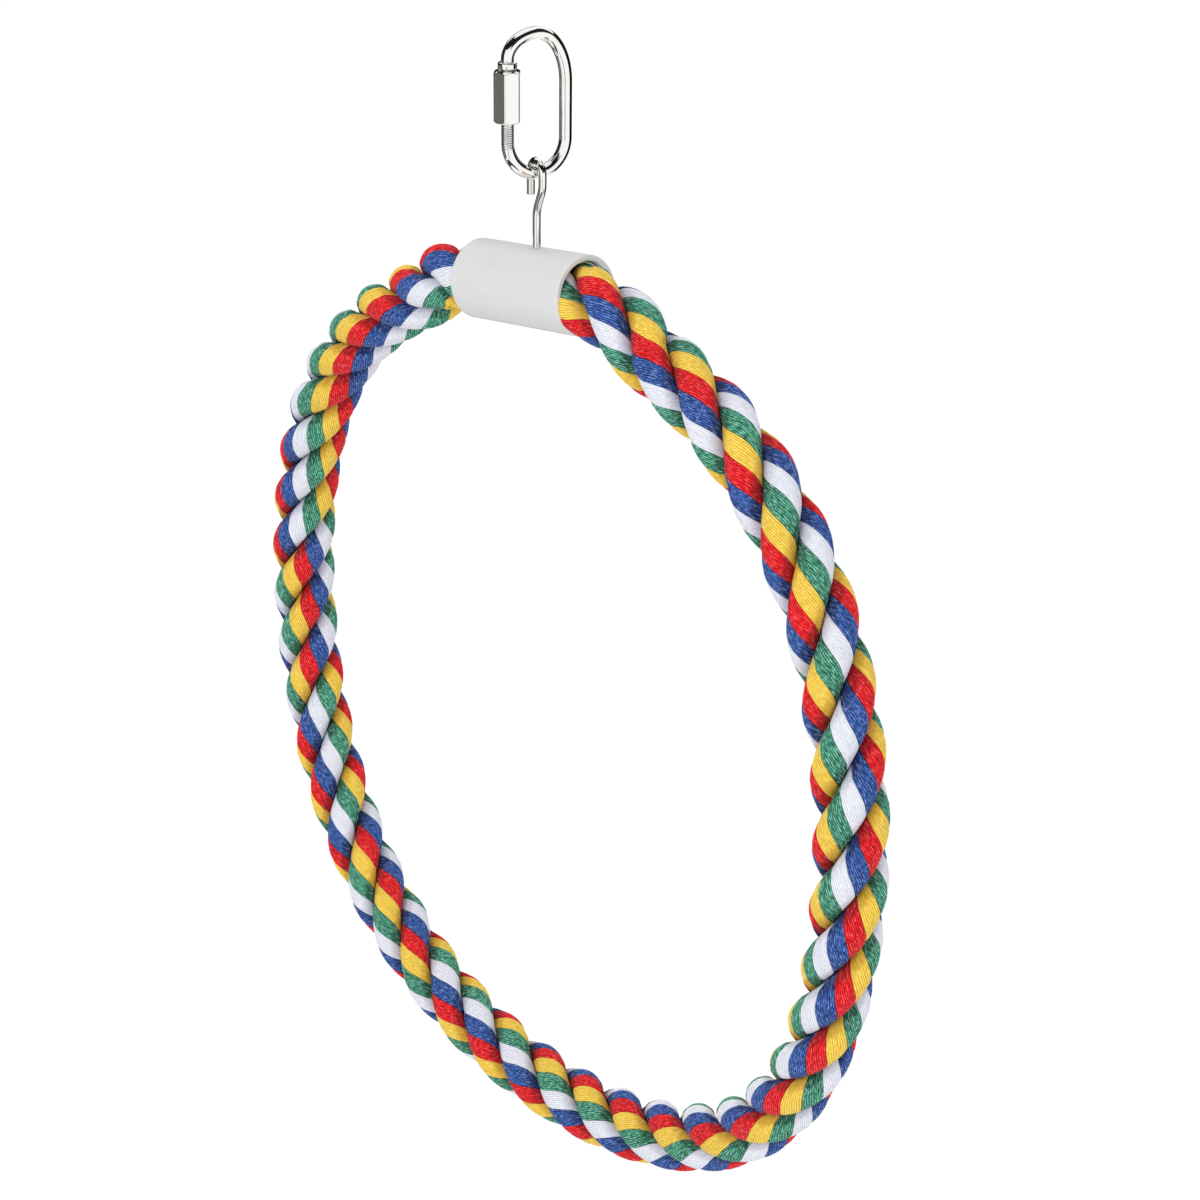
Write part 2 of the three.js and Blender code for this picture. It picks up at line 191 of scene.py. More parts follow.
# %% [markdown]
# ## The line of the rope
# The ring was bent by hand over its stiff core wire, so it isn't a true circle: it has three soft lobes
# that stand out and lean to the side. Near the sleeve the rope comes out straight and eases into the round.
# It doesn't sit true in the sleeve: it hangs over the lower rim on the right, and rises a little on the
# left. One formula gives all of that, and a table of lengths lets the rope be walked along in even steps.

# %% Centre line
WOBBLE_OUT = 1.7
WOBBLE_SIDE = 3.6
WOBBLE_TURN = math.radians(114)
LOBES = 3
SLEEVE_LENGTH = 42.5
ROPE_EASE = 28
RING_LEAN = math.radians(1.8)
# Side of the sleeve, shift, and where beyond the mouth it begins, is full and ends
MOUTH_SHIFTS = ((1, (0, -1.2, -0.9), -3.5, 3.5, 24), (-1, (0, 0, 1.6), 3, 12, 65))
LINE_STEPS = 1440

level = math.cos(SLEEVE_TILT)
SLEEVE_AXIS = np.array(
    [level * math.cos(SLEEVE_YAW), level * math.sin(SLEEVE_YAW), math.sin(SLEEVE_TILT)]
)
SLEEVE_MIDDLE = np.array([0, 0, EYE_HEIGHT]) - HOOK_PLACE * SLEEVE_AXIS


def centre_line(angle):
    """Points of the rope's middle, by the angle from the top of the ring towards +X."""
    angle = (angle + math.pi) % TURN - math.pi
    lobe = np.cos(LOBES * angle - WOBBLE_TURN)
    radius = RING_RADIUS + WOBBLE_OUT * lobe
    height = RING_HEIGHT + radius * np.cos(angle)
    bent = np.stack([radius * np.sin(angle), WOBBLE_SIDE * lobe, height], -1)
    along = RING_RADIUS * angle
    straight = SLEEVE_MIDDLE + along[:, None] * SLEEVE_AXIS
    ease = smooth((np.abs(along) - SLEEVE_LENGTH / 2) / ROPE_EASE)
    points = straight + ease[:, None] * (bent - straight)
    for side, shift, begin, full, end in MOUTH_SHIFTS:
        beyond = side * along - SLEEVE_LENGTH / 2
        share = smooth((beyond - begin) / (full - begin)) - smooth((beyond - full) / (end - full))
        points += share[:, None] * shift
    return points


line_angle = np.linspace(0, TURN, LINE_STEPS + 1)
line_step = np.linalg.norm(np.diff(centre_line(line_angle), axis=0), axis=1)
line_length = np.concatenate([[0], np.cumsum(line_step)])
ROPE_ROUND = line_length[-1]
print("rope once round", round(ROPE_ROUND, 1))

# %% Places along the line
def unit(vectors):
    """The same directions, each of length 1."""
    return vectors / np.linalg.norm(vectors, axis=-1, keepdims=True)


def stations(place):
    """Places along the line: the point, and the directions out of the ring and across it."""
    angle = np.interp(place % ROPE_ROUND, line_length, line_angle)
    small = TURN / LINE_STEPS / 2
    at = centre_line(angle)
    along = unit(centre_line(angle + small) - centre_line(angle - small))
    out = at - [0, 0, RING_HEIGHT]
    out[:, 1] = 0
    out = unit(out - along * np.sum(out * along, 1, keepdims=True))
    return at, out, np.cross(along, out)


def lean(points):
    """The whole ring hangs a little out of the upright, turned about the hook's eye."""
    c, s = math.cos(RING_LEAN), math.sin(RING_LEAN)
    x, y, z = points[..., 0], points[..., 1], points[..., 2] - EYE_HEIGHT
    return np.stack([x, y * c - z * s, EYE_HEIGHT + y * s + z * c], -1)


print("ring's lowest point", round(lean(centre_line(line_angle))[:, 2].min(), 1))

# %% [markdown]
# ## Three strands and fifteen yarn bundles
# A laid rope is three strands twisted one way, and each strand is a bunch of yarns twisted the other way.
# The two twists cancel, which keeps the rope from unwinding, and it is why the coloured bands run almost
# along the rope while the strands climb round it. In this rope each strand has five bundles of yarn, one of
# each colour. A striped texture on three plain tubes would give the colours but no edges, so each bundle is
# a solid of its own: a wedge of the strand, with its outer face drawn as nine threads side by side.
# The bends of the ring have untwisted the rope a little: at three places it has lost part of a turn.

# %% Sizes of the rope
ROPE_DIAMETER = 20
ROPE_LAY = 53.7
LAY_START = 0.536  # of a turn, in the middle of the sleeve
LAY_SLIPS = ((0, 0.19, 0.163), (0.25, 0.47, 1 / 3), (0.78, 0.95, 1 / 3))  # from, to, turns
STRANDS = 3
SLEEVE_BORE = 18.8
TAPE_THICKNESS = 0.4
TAPE_INSET = 2
MOUTH_PLAY = 0.9  # between the rope and the sleeve's rim
FREE_PLAY = 0.6  # beyond the rope's own size, for the crests of its threads
TAPE_ROOM = SLEEVE_BORE / 2 - TAPE_THICKNESS - 2 * FIT
MOUTH_ROOM = SLEEVE_BORE / 2 - MOUTH_PLAY
FREE_ROOM = ROPE_DIAMETER / 2 + FREE_PLAY
SWELL_RUN = 4
STRAND_RADIUS = 4.44
STRAND_WIDTH = 5.29  # half the strand's width round the rope: it is cut on the slant
STRAND_CENTRE = ROPE_DIAMETER / 2 - STRAND_RADIUS
FLANK_FULLNESS = 0.08  # the strands press on each other, which fills their flanks
FLANK_START = math.radians(55)
FLANK_RUN = math.radians(40)
FLANK_GAP = 0.05
print("room under the tape", round(TAPE_ROOM, 1), "in the mouth", MOUTH_ROOM, "outside", FREE_ROOM)

# %% Room and lay
def room_at(place):
    """How far out the strands can reach: pressed flat by the tape and the sleeve, then free."""
    place = place % ROPE_ROUND
    beyond = np.minimum(place, ROPE_ROUND - place) - SLEEVE_LENGTH / 2
    steps = (-TAPE_INSET, -TAPE_INSET / 4, SWELL_RUN)
    return np.interp(beyond, steps, (TAPE_ROOM, MOUTH_ROOM, FREE_ROOM))


def lays(place):
    """Turns of the strands round the rope, up to each place."""
    share = place / ROPE_ROUND
    slipped = sum(turns * smooth((share - start) / (end - start)) for start, end, turns in LAY_SLIPS)
    return place / ROPE_LAY + LAY_START - slipped


print("turns of the lay", round(float(lays(ROPE_ROUND) - lays(0)), 2))

# %% Points of a strand
def from_outside(side):
    """How far round its strand a point lies from where the strand faces outwards."""
    return np.abs((side + math.pi) % TURN - math.pi)


def in_strand(side, size, height=0):
    """Distances out from the rope's middle and round it, for a turn round the strand."""
    fuller = 1 + FLANK_FULLNESS * smooth((from_outside(side) - FLANK_START) / FLANK_RUN)
    outward = STRAND_CENTRE + (STRAND_RADIUS * size + height) * np.cos(side)
    sideways = (STRAND_WIDTH * size * fuller + height) * np.sin(side)
    room = outward * math.tan(math.pi / STRANDS) - FLANK_GAP
    return outward, np.clip(sideways, -room, room)


def on_rope(place, strand, outward, sideways):
    """The same distances as points of the leaning ring: one row for each place."""
    at, out, across = (part[:, None] for part in stations(place))
    turn = TURN * (lays(place) + strand / STRANDS)
    c, s = np.cos(turn)[:, None], np.sin(turn)[:, None]
    pressed = np.minimum(1, room_at(place)[:, None] / np.hypot(outward, sideways))
    outward, sideways = outward * pressed, sideways * pressed
    from_out = (outward * c - sideways * s)[..., None]
    from_across = (outward * s + sideways * c)[..., None]
    return lean(at + out * from_out + across * from_across)


print("strand reaches out to", round(in_strand(0, 1)[0], 2))

# %% [markdown]
# ## Where the colours run
# The yarns go round in their strand about two and a half times for each turn of the strand in the rope. A
# hand-made rope isn't even, so every strand drifts. The drift is given at the sleeve and at each
# third of the ring, in bands and half bands, and eased in between. On top of it each edge between two
# colours wanders a little.

# %% Colours along a strand
COLOURS = ("yellow", "red", "blue", "white", "green")
YARN_TURNS = -2.57  # in one lay of the rope; below zero, because yarns and strands twist opposite ways
DRIFTS = ((-2.5, 0.5, -0.5, 0), (-1.5, 0.5, -0.5, -2.5), (-2.5, 0, 0.5, 1.5))  # one row for a strand
DRIFT_PLACES = np.linspace(0, 1, len(DRIFTS[0]))
EDGE_WANDER = 0.045  # round the strand, in radians
WANDER_LENGTHS = (61, 23, 11)
ROPE_SEED = 7


def wander(generator, place):
    """Slow unevenness along the rope, within -1 and 1."""
    waves = [np.sin(TURN * place / length + generator.uniform(0, TURN)) for length in WANDER_LENGTHS]
    return sum(waves) / len(waves)


def drift(strand, place):
    share = place / ROPE_ROUND
    total = np.full_like(share, DRIFTS[strand][0])
    for number in range(1, len(DRIFT_PLACES)):
        start, end = DRIFT_PLACES[number - 1], DRIFT_PLACES[number]
        change = DRIFTS[strand][number] - DRIFTS[strand][number - 1]
        total += change * smooth((share - start) / (end - start))
    return total


def colour_edges(strand, place, generator):
    """Turn of each colour's first edge round its strand, and after the last colour the first again."""
    first = TURN * (YARN_TURNS * lays(place) - drift(strand, place) / len(COLOURS))
    edges = [
        first + TURN * number / len(COLOURS) + EDGE_WANDER * wander(generator, place)
        for number in range(len(COLOURS))
    ]
    return [*edges, edges[0] + TURN]


print("colours in one strand", len(COLOURS))

# %% [markdown]
# ## A node at a time
# Each surface is a small network of shader nodes. This helper adds one node, sets its values and links
# its inputs, so that a material reads like a recipe. Colours are written as on screen and turned to linear
# light.

# %% Material helpers
def linear(colour):
    """A colour such as "C0FFEE" as linear red, green, blue and alpha."""
    shares = [int(colour[i : i + 2], 16) / 255 for i in (0, 2, 4)]
    return [*(x / 12.92 if x <= 0.04045 else ((x + 0.055) / 1.055) ** 2.4 for x in shares), 1]


def add(tree, kind, inputs, **settings):
    """A new node of that kind. An input is a value, or the output socket that feeds it."""
    node = tree.nodes.new("ShaderNode" + kind)
    for name, value in settings.items():
        setattr(node, name, value)
    for name, value in inputs.items():
        if isinstance(value, bpy.types.NodeSocket):
            tree.links.new(value, node.inputs[name])
        else:
            node.inputs[name].default_value = value
    return node


def new_material(name):
    """An empty material's node tree and its output node."""
    material = bpy.data.materials.new(name)
    material.use_nodes = True
    material.node_tree.nodes.clear()
    output = add(material.node_tree, "OutputMaterial", {})
    return material, material.node_tree, output


def paint(piece, material):
    """One material all over a piece."""
    piece.data.materials.clear()
    piece.data.materials.append(material)


print("middle grey is", round(linear("808080")[0], 3), "in linear light")

# %% [markdown]
# ## Dyed cotton yarn
# Cotton yarn is spun from short fibres and dyed, so it is matt, a little fuzzy, and never one flat colour.
# The gaps between threads and the crevices between the strands are painted shade: there the colour is mixed
# towards a darker shadow colour. Some threads took more dye than others and show as streaks, and pale fibres
# show as short dashes on the crests of the threads: many on the dark dyes, hardly any on the white. Every
# point of a bundle knows how far across the threads and how far along them it lies, in millimetres, so all of
# these follow the yarn round the rope. Real fibres are a few hundredths of a millimetre thick. They are drawn
# over ten times coarser, because finer ones blur away.

# %% Sizes in the cotton
THREADS = 9
THREAD_PITCH = 0.67
THREAD_UNEVEN = 1.5  # how far the lines between threads wander
THREAD_BUMP = 0.12
# how far the painted shade in the gaps between threads goes towards the shadow colour
GAP_SHADE = 0.88
# Width and length of each grain, the lowest and highest noise it uses, and its share of the mottle
DASHES = (0.38, 1.35, 0.35, 0.65, 1)
STREAKS = (0.5, 7, 0.3, 0.7, 0.7)
PATCHES = (12, 12, 0.3, 0.7, 0.15)
WAVE_PERIOD = 0.314  # a wave texture of scale 1 repeats after this length
COTTON_ROUGHNESS = 0.92
COTTON_IOR = 1.53
print("threads cover", round(THREADS * THREAD_PITCH, 2), "across a bundle")

# %% Dyed cotton
def dyed_cotton(name, dye, shadow, lint, mottle, flecks):
    """Cotton of one dye. Mottle is how far its tone varies, and flecks the share of lint on it.
    Shadow is the colour of the painted shade in the gaps between threads and the crevices between strands.
    """
    material, tree, output = new_material(name)
    yarn = add(tree, "Attribute", {}, attribute_name="yarn").outputs["Vector"]
    painted_crevice_shade = add(tree, "Attribute", {}, attribute_name="painted_crevice_shade").outputs["Fac"]
    wave = {"Vector": yarn, "Scale": WAVE_PERIOD / THREAD_PITCH, "Distortion": THREAD_UNEVEN}
    threads = add(tree, "TexWave", wave).outputs["Fac"]
    # Painted shade: the gaps between threads, and the crevices between strands, are mixed towards the shadow
    # colour
    painted_gap_shade = add(tree, "MapRange", {"Value": threads, "From Max": 0.5, "To Min": GAP_SHADE, "To Max": 0})
    painted_shade = add(tree, "Math", {0: painted_gap_shade.outputs[0], 1: painted_crevice_shade}, operation="MAXIMUM")
    dye_and_shade = {"Fac": painted_shade.outputs[0], "Color1": linear(dye), "Color2": linear(shadow)}
    colour = add(tree, "MixRGB", dye_and_shade).outputs[0]
    grains = []
    for across, along, low, high, share in (DASHES, STREAKS, PATCHES):
        size = (1 / across, 1 / along, 1)
        at = add(tree, "VectorMath", {0: yarn, 1: size}, operation="MULTIPLY").outputs[0]
        grain = add(tree, "TexNoise", {"Vector": at, "Scale": 1, "Detail": 2}).outputs["Fac"]
        tones = {"To Min": 1 - share * mottle, "To Max": 1 + share * mottle}
        tone = add(tree, "MapRange", {"Value": grain, "From Min": low, "From Max": high, **tones})
        toned = {"Fac": 1, "Color1": colour, "Color2": tone.outputs[0]}
        colour = add(tree, "MixRGB", toned, blend_type="MULTIPLY").outputs[0]
        grains.append(grain)
    dashes = grains[0]
    crests = add(tree, "MapRange", {"Value": threads, "From Min": 0.1, "From Max": 0.6})
    pale = add(tree, "MapRange", {"Value": dashes, "From Min": 0.5, "From Max": 0.68, "To Max": flecks})
    on_crests = add(tree, "Math", {0: pale.outputs[0], 1: crests.outputs[0]}, operation="MULTIPLY")
    linted = {"Fac": on_crests.outputs[0], "Color1": colour, "Color2": linear(lint)}
    colour = add(tree, "MixRGB", linted).outputs[0]
    relief = add(tree, "Math", {0: threads, 1: dashes}, operation="ADD").outputs[0]
    bump = add(tree, "Bump", {"Height": relief, "Strength": 0.5, "Distance": THREAD_BUMP * MM}).outputs[0]
    shader = add(
        tree,
        "BsdfPrincipled",
        {
            "Base Color": colour,
            "Normal": bump,
            "Roughness": COTTON_ROUGHNESS,
            "IOR": COTTON_IOR,
            "Specular IOR Level": 0.2,
            "Sheen Weight": 0.05,
            "Sheen Roughness": 0.5,
        },
    )
    tree.links.new(shader.outputs[0], output.inputs["Surface"])
    return material


print("grains of", [grain[0] for grain in (DASHES, STREAKS, PATCHES)], "millimetres")

# %% Five dyes
# for each cotton: dye, the colour of its painted shade, lint, mottle and flecks
COTTONS = {
    "yellow": dyed_cotton("dyed_cotton_yellow", "F6D354", "C8962C", "FBEFC0", 0.15, 0.27),
    "red": dyed_cotton("dyed_cotton_red", "EC1E25", "8E0C14", "F59C9A", 0.35, 0.33),
    "blue": dyed_cotton("dyed_cotton_blue", "355BA5", "172758", "AFC4E8", 0.43, 0.47),
    "white": dyed_cotton("bleached_cotton_white", "E9EBF4", "C1C3D2", "FFFFFF", 0.085, 0.22),
    "green": dyed_cotton("dyed_cotton_green", "4C9A7F", "154633", "B6E2CE", 0.56, 0.56),
}
print("cottons", sorted(COTTONS))

# %% [markdown]
# ## Laying the rope
# A bundle's ring of points runs over its nine threads, crest and valley in turn, then back through the
# middle of the strand. The edges of a bundle sink a little into the line between two colours. The next ring
# is a millimetre further on and a little further round, so the faces run along the threads as the fibres do.

# %% Sizes of a bundle
ROPE_END = 6  # from the hook to the cut ends, inside the sleeve
ROPE_RINGS = 900
THREAD_RELIEF = 0.15
TENSION_UNEVEN = 0.4  # some threads are tighter and stand out less
BUNDLE_GROOVE = 0.3
GROOVE_SHARPNESS = 6
BUNDLE_GAP = 0.004  # between neighbours, in radians
BUNDLE_HEART = 0.4  # how near the strand's middle a bundle's wedge ends
# Painted shade in the crevices between strands: it starts this far round the strand and grows over the run
CREVICE_START = math.radians(62)  # round the strand, from where it faces outwards
CREVICE_RUN = math.radians(25)
CREVICE_SHADE = 0.8
STRAND_UNEVEN = 0.012
YARN_APART = 10  # keeps bundles apart in the noise, so that no two have the same dashes

rope_place = np.linspace(HOOK_PLACE + ROPE_END, HOOK_PLACE + ROPE_ROUND - ROPE_END, ROPE_RINGS)
across_share = np.linspace(0, 1, 2 * THREADS + 1)
heart_share = np.array([1, 0.5, 0])
print("step along the rope", round(rope_place[1] - rope_place[0], 2))

# %% Flat map of a bundle
MAP_ROWS = 12  # the long strip of a bundle is cut into rows, to lie on a square map
OUTER_SHARE = 0.85  # of a row's width, for the sides that show
MAP_SHARE = 0.97  # of a row's width, for all sides: the rest keeps the rows apart


def strip_map(piece, sides, outer):
    """A flat map of a bundle: one long strip, cut into rows, most of it for the sides that show."""
    shown = np.linspace(0, OUTER_SHARE, outer)
    hidden = np.linspace(OUTER_SHARE, MAP_SHARE, sides - outer + 2)[1:]
    sideways = np.concatenate([shown, hidden])
    faces = (ROPE_RINGS - 1) * sides
    corner = np.zeros(len(piece.data.loops), np.int32)
    piece.data.loops.foreach_get("vertex_index", corner)
    ring, side = np.divmod(corner[: 4 * faces].reshape(-1, 4), sides)
    first_ring, first_side = np.divmod(np.arange(faces), sides)
    side = np.where((first_side[:, None] == sides - 1) & (side == 0), sides, side)
    row_length = (ROPE_RINGS - 1) / MAP_ROWS
    row = (first_ring // row_length)[:, None]
    spread = np.zeros((len(corner), 2), np.float32)
    spread[: 4 * faces, 0] = ((ring - row * row_length) / (row_length + 2)).ravel()
    spread[: 4 * faces, 1] = ((row + sideways[side]) / MAP_ROWS).ravel()
    piece.data.uv_layers.new(name="OFBake").data.foreach_set("uv", spread.ravel())


print("rings in a row of the map", round(ROPE_RINGS / MAP_ROWS))

# %% One bundle
def yarn_bundle(strand, number, edges, size, generator):
    """One colour of one strand, from cut end to cut end."""
    first, last = edges[number] + BUNDLE_GAP, edges[number + 1] - BUNDLE_GAP
    outer_side = first[:, None] + (last - first)[:, None] * across_share
    crest = 0.5 - 0.5 * np.cos(TURN * THREADS * across_share)
    tension = 1 + TENSION_UNEVEN * np.array([wander(generator, rope_place) for _ in across_share]).T
    groove = BUNDLE_GROOVE * np.abs(2 * across_share - 1) ** GROOVE_SHARPNESS
    outer = in_strand(outer_side, size[:, None], THREAD_RELIEF * (crest - 0.5) * tension - groove)
    heart_side = first[:, None] + (last - first)[:, None] * heart_share
    heart = in_strand(heart_side, BUNDLE_HEART * size[:, None])
    outward, sideways = (np.concatenate(pair, 1) for pair in zip(outer, heart))
    rings = on_rope(rope_place, strand, outward, sideways)
    piece = add_piece(f"yarn_{COLOURS[number]}_{strand + 1}", "perch", rings, sharp=180)
    yarn = np.zeros((ROPE_RINGS, rings.shape[1], 3), np.float32)
    yarn[..., 0] = np.concatenate([across_share, heart_share]) * THREADS * THREAD_PITCH
    yarn[..., 1] = rope_place[:, None]
    yarn[..., 2] = YARN_APART * (strand * len(COLOURS) + number)
    layer = piece.data.attributes.new("yarn", "FLOAT_VECTOR", "POINT")
    layer.data.foreach_set("vector", yarn.ravel())
    # painted shade: how far into a crevice between strands each point lies, as a share of the shadow colour
    around = from_outside(np.concatenate([outer_side, heart_side], 1))
    painted_crevice_shade = CREVICE_SHADE * smooth((around - CREVICE_START) / CREVICE_RUN)
    layer = piece.data.attributes.new("painted_crevice_shade", "FLOAT", "POINT")
    layer.data.foreach_set("value", painted_crevice_shade.astype(np.float32).ravel())
    strip_map(piece, rings.shape[1], len(across_share))
    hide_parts(f"rope_strand_{strand + 1}")
    paint(piece, COTTONS[COLOURS[number]])
    return piece


print("points in a ring", len(across_share) + len(heart_share))

# %% All bundles
bundles = []
generator = np.random.default_rng(ROPE_SEED)
for strand in range(STRANDS):
    edges = colour_edges(strand, rope_place, generator)
    size = 1 + STRAND_UNEVEN * wander(generator, rope_place)
    for number in range(len(COLOURS)):
        bundles.append(yarn_bundle(strand, number, edges, size, generator))
print("bundles", len(bundles), "faces", sum(len(piece.data.polygons) for piece in bundles))

# %% [markdown]
# ## Stray fibres
# No cotton rope is quite clean: ends of fibres stand off, and pale lint from one yarn clings to the next.
# Each of these hairs starts somewhere on a strand, wanders over it and lifts off a little. They are the one
# place where curves with a bevel do well: a hair needs no more than a path and a thickness.

# %% Path of a fibre
FIBRES = 100
FIBRE_RADIUS = 0.028
FIBRE_POINTS = 12
FIBRE_LENGTHS = (2, 8)
FIBRE_LIFTS = (0.2, 1.6)
FIBRE_SEED = 11


def fibre_path(generator):
    """A hair over one strand, in millimetres."""
    share = np.linspace(0, 1, FIBRE_POINTS)
    length = generator.uniform(*FIBRE_LENGTHS)
    heading = generator.uniform(0, TURN) + generator.uniform(-1, 1) * share
    step = length / FIBRE_POINTS
    start = generator.uniform(SLEEVE_LENGTH / 2 + length, ROPE_ROUND - SLEEVE_LENGTH / 2 - length)
    place = start + np.cumsum(step * np.cos(heading))
    side = generator.uniform(-1, 1) + np.cumsum(step * np.sin(heading)) / STRAND_WIDTH
    lift = generator.uniform(*FIBRE_LIFTS) * share * share + THREAD_RELIEF
    outward, sideways = in_strand(side, 1, lift)
    return on_rope(place, generator.integers(STRANDS), outward[:, None], sideways[:, None])[:, 0]


print("fibres are", FIBRE_LENGTHS, "long and lift by", FIBRE_LIFTS)

# %% Stray fibres
generator = np.random.default_rng(FIBRE_SEED)
hairs = bpy.data.curves.new("stray_fibres", "CURVE")
hairs.dimensions = "3D"
hairs.bevel_depth = FIBRE_RADIUS * MM
hairs.bevel_resolution = 0
for _ in range(FIBRES):
    hair = hairs.splines.new("POLY")
    hair.points.add(FIBRE_POINTS - 1)
    hair.points.foreach_set("co", np.insert(fibre_path(generator) * MM, 3, 1, axis=1).ravel())
hair_shape = bpy.data.objects.new("hair_shape", hairs)
fibres = bpy.data.objects.new("stray_fibres", bpy.data.meshes.new_from_object(hair_shape))
bpy.data.objects.remove(hair_shape)
bpy.context.scene.collection.objects.link(fibres)
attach(fibres, "perch")
paint(fibres, COTTONS["white"])
print("fibres", FIBRES, "faces", len(fibres.data.polygons))

# %% [markdown]
# ## Polished steel
# The link is bent from steel rod and polished, and the hook is drawn wire. Polished steel has hardly a
# colour of its own: it shows the white studio, with dark bands where it mirrors the dark cards at the sides.
# What makes it steel and not chrome is a slightly soft reflection, with fine lines left by the polishing
# wheel.

# %% Steel
STEEL_ROUGHNESS = 0.06
POLISH_LINE_WIDTH = 0.12  # real polishing lines are a tenth of this, and wouldn't show
POLISH_LINE_LENGTH = 4
POLISH_LINE_DEPTH = 0.01
HANDLING_PATCH = 5
WIRE_ROUGHER = 1.2  # drawn wire is less smooth than polished rod


def polished_steel(name, colour, tint, roughness):
    """Steel with polishing lines along Z, and patches that were handled more."""
    material, tree, output = new_material(name)
    place = add(tree, "TexCoord", {}).outputs["Object"]
    size = (1 / (POLISH_LINE_WIDTH * MM), 1 / (POLISH_LINE_WIDTH * MM), 1 / (POLISH_LINE_LENGTH * MM))
    lines_at = add(tree, "VectorMath", {0: place, 1: size}, operation="MULTIPLY")
    lines = add(tree, "TexNoise", {"Vector": lines_at.outputs[0], "Scale": 1, "Detail": 2})
    patches = add(tree, "TexNoise", {"Vector": place, "Scale": 1 / (HANDLING_PATCH * MM), "Detail": 3})
    handled = patches.outputs["Fac"]
    spread = {"From Min": 0.3, "From Max": 0.7, "To Min": 0.8 * roughness, "To Max": 1.3 * roughness}
    rough = add(tree, "MapRange", {"Value": handled, **spread})
    toned = add(tree, "MixRGB", {"Fac": handled, "Color1": linear(colour), "Color2": linear(tint)})
    depth = POLISH_LINE_DEPTH * MM
    bump = add(tree, "Bump", {"Height": lines.outputs["Fac"], "Strength": 0.25, "Distance": depth})
    shader = add(
        tree,
        "BsdfPrincipled",
        {
            "Base Color": toned.outputs[0],
            "Roughness": rough.outputs[0],
            "Metallic": 1,
            "Normal": bump.outputs[0],
        },
    )
    tree.links.new(shader.outputs[0], output.inputs["Surface"])
    return material


link_steel = polished_steel("polished_steel_rod", "FAFAF8", "F0F0EC", STEEL_ROUGHNESS)
hook_steel = polished_steel("drawn_steel_wire", "F9F9F6", "EEEDE9", WIRE_ROUGHER * STEEL_ROUGHNESS)
print("steels", link_steel.name, hook_steel.name)

# %% [markdown]
# ## Wire and rod
# A wire keeps its section square to its path. The first ring is given, and every next ring is turned
# just as much as the path turns, so that nothing twists on the way round a bend.

# %% Rings round a path
WIRE_SIDES = 32
START_SIDE = (0.36, 0.48, 0.8)  # no wire here starts in this direction


def wire_rings(path, radius):
    """Rings round a path. The radius is one number, or one for each point and side."""
    along = unit(np.gradient(path, axis=0))
    normal = unit(np.cross(along[0], START_SIDE))
    normals = []
    for direction in along:
        normal = unit(normal - direction * np.dot(normal, direction))
        normals.append(normal)
    normals = np.array(normals)[:, None]
    beside = np.cross(along[:, None], normals)
    turn = np.arange(WIRE_SIDES)[:, None] / WIRE_SIDES * TURN
    radius = np.broadcast_to(radius, (len(path), WIRE_SIDES))
    spoke = normals * np.cos(turn) + beside * np.sin(turn)
    return path[:, None] + radius[..., None] * spoke


print("sides of a wire", WIRE_SIDES)

# %% Runs of a path
TOUCHING = 1e-6  # points that are closer than this are one point


def arc(across, height, width, rise, start, end, count):
    """Points of an arc in an upright plane, as distance across and height. Angles in degrees."""
    angle = np.radians(np.linspace(start, end, count))
    return np.stack([across + width * np.cos(angle), height + rise * np.sin(angle)], -1)


def line(start, end, count):
    """Points from start to end, both of them distance across and height."""
    return np.linspace(start, end, count)


def upright(points, degrees):
    """The same points in space, in a plane through Z that is turned from X by so many degrees."""
    angle = math.radians(degrees)
    return np.stack(
        [points[:, 0] * math.cos(angle), points[:, 0] * math.sin(angle), points[:, 1]], -1
    )


def joined(*runs):
    """Runs of points as one path, without the points where one ends and the next begins."""
    path = np.concatenate(runs)
    keep = np.concatenate([[True], np.linalg.norm(np.diff(path, axis=0), axis=1) > TOUCHING])
    return path[keep]


print("two runs joined have", len(joined(line((0, 0), (0, 1), 2), line((0, 1), (1, 1), 2))), "points")

# %% [markdown]
# ## The wire hook
# The hook is one length of wire: over the link, a small kink that brings the shank under the middle, then
# straight down into the sleeve, where it closes round the ferrule in an eye. Its end was cut with pliers,
# so the tip is flat with a small rounded rim.

# %% Path of the hook
HOOK_WIRE = 2.2
HOOK_PLAY = 0.65
HOOK_TIP = 6.3
HOOK_KINK_DROP = 2
HOOK_KINK_RUN = 9.5
HOOK_TURN = 12
EYE_RADIUS = 3.51
EYE_INSET = 1
EYE_CLOSE = 150

hook_round = LINK_ROD / 2 + HOOK_WIRE / 2 + HOOK_PLAY
hook_middle = LINK_BOTTOM + LINK_ROD / 2 + FIT + HOOK_WIRE / 2 - hook_round
kink_top = hook_middle - HOOK_KINK_DROP
eye_top = EYE_HEIGHT + SLEEVE_BORE / 2 - EYE_INSET


def kink(start, end, count):
    """Points of a soft step from one upright line to another."""
    share = np.linspace(0, 1, count)
    across = start[0] + (end[0] - start[0]) * smooth(share)
    return np.stack([across, start[1] + (end[1] - start[1]) * share], -1)


hook_upper = joined(
    line((-hook_round, hook_middle - HOOK_TIP), (-hook_round, hook_middle), 12),
    arc(0, hook_middle, hook_round, hook_round, 180, 0, 36),
    line((hook_round, hook_middle), (hook_round, kink_top), 8),
    kink((hook_round, kink_top), (0, kink_top - HOOK_KINK_RUN), 24),
    line((0, kink_top - HOOK_KINK_RUN), (0, eye_top), 30),
)
hook_lower = joined(
    kink((0, eye_top), (EYE_RADIUS, EYE_HEIGHT), 16),
    arc(0, EYE_HEIGHT, EYE_RADIUS, EYE_RADIUS, 0, EYE_CLOSE - 360, 40),
)
hook_path = joined(upright(hook_upper, -HOOK_TURN), upright(hook_lower, 90 - HOOK_TURN))
print("wire in the hook", round(np.linalg.norm(np.diff(hook_path, axis=0), axis=1).sum(), 1))

# %% Hook
WIRE_RIM = 0.2
RIM_STEPS = 4


